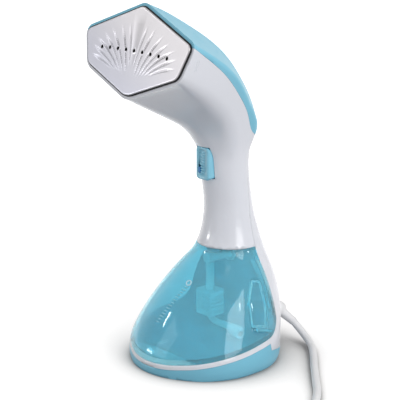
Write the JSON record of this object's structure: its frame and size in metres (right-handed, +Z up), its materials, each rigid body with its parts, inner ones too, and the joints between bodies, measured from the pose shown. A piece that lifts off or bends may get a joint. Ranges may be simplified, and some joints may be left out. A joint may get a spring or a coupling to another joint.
{
  "type": "garment steamer",
  "caption": "Handheld garment steamer with a tilted hexagonal steam plate, clear lift-out water tank with filler flap, trigger and mains lead, standing on its flat foot.",
  "frame": {"origin": "on the floor under the tank, in the plane of symmetry", "axes": "+Z up, the steam plate faces -Y, +X is the side of the tank's filler flap"},
  "size_m": [0.3271, 0.181, 0.2793],
  "materials": {
    "white_plastic": "glossy white moulding",
    "sky_plastic": "glossy sky blue moulding",
    "trigger_blue": "glossy sky blue moulding",
    "lock_blue": "glossy deep blue moulding",
    "tank_blue": "clear blue tinted plastic",
    "plate_metal": "satin light metal",
    "cast_alloy": "as cast",
    "steel": "bright",
    "copper": "enamelled copper wire",
    "black_rubber": "matt",
    "grey_rubber": "matt",
    "dark_plastic": "matt",
    "pale_plastic": "pale milky moulding",
    "clear_hose": "milky silicone",
    "white_cord": "soft white vinyl",
    "brass_pin": "nickel plated brass"
  },
  "bodies": {
    "housing": {"base_foot": "sky_plastic", "rubber_feet": "grey_rubber", "base_screws": "steel", "rear_shell": "white_plastic", "front_shell": "white_plastic", "shell_screws": "steel", "top_cover": "sky_plastic", "steam_plate": "plate_metal", "plate_seal": "black_rubber", "heat_shield": "dark_plastic", "boiler_body": "cast_alloy", "boiler_gasket": "black_rubber", "boiler_cover": "cast_alloy", "boiler_screws": "steel", "heating_element": "steel", "thermostat": "steel", "thermal_fuse": "steel", "pump_body": "white_plastic", "pump_coil": "copper", "pump_bushes": "black_rubber", "suction_hose": "clear_hose", "delivery_hose": "clear_hose", "outlet_socket": "black_rubber", "micro_switch": "dark_plastic", "trigger_pin": "steel", "terminal_block": "white_plastic", "cord_clamp": "white_plastic", "wiring_loom": "black_rubber", "cord_bush": "white_cord", "cord_lead": "white_cord", "cord_coil": "white_cord", "cord_end": "white_cord", "plug_body": "white_cord", "plug_pins": "brass_pin"},
    "tank": {"tank_shell": "tank_blue", "flap_pin": "steel", "tank_outlet": "pale_plastic", "outlet_seal": "black_rubber", "suction_tube": "clear_hose", "water_filter": "pale_plastic"},
    "flap": {"fill_flap": "tank_blue", "flap_seal": "clear_hose"},
    "intake": {"intake_hose": "clear_hose", "intake_weight": "pale_plastic"},
    "trigger": {"trigger": "trigger_blue", "trigger_spring": "steel"},
    "lock": {"trigger_lock": "lock_blue"},
    "button": {"switch_button": "dark_plastic"},
    "plunger": {"pump_plunger": "steel"}
  },
  "joints": [
    {"name": "tank_slide", "type": "slide", "parent": "housing", "child": "tank", "axis": [0, -1, 0], "range_m": [0, 0.07]},
    {"name": "flap_hinge", "type": "hinge", "parent": "tank", "child": "flap", "pos_m": [0.05694, 0.00512, 0.03295], "axis": [0.1091, 0.9565, -0.2705], "range_deg": [0, 100]},
    {"name": "intake_swivel", "type": "hinge", "parent": "tank", "child": "intake", "pos_m": [0, 0.003, 0.033], "axis": [0, -0.153, 0.9882], "range_deg": [-140, 18]},
    {"name": "trigger_pull", "type": "hinge", "parent": "housing", "child": "trigger", "pos_m": [0, 0.0012, 0.1615], "axis": [1, 0, 0], "range_deg": [0, 7], "stiffness_Nm_per_rad": 0.12, "springref_deg": -17.19},
    {"name": "lock_slide", "type": "slide", "parent": "trigger", "child": "lock", "axis": [0, 0, 1], "range_m": [0, 0.002]},
    {"name": "button_press", "type": "slide", "parent": "housing", "child": "button", "axis": [0, 1, 0], "range_m": [0, 0.00145]},
    {"name": "plunger_stroke", "type": "slide", "parent": "housing", "child": "plunger", "axis": [0, 0, 1], "range_m": [-0.0015, 0.0015], "stiffness_N_per_m": 900}
  ],
  "couplings": [
    {"joint": "button_press", "follows": "trigger_pull", "m_per_rad": 0.0115}
  ]
}
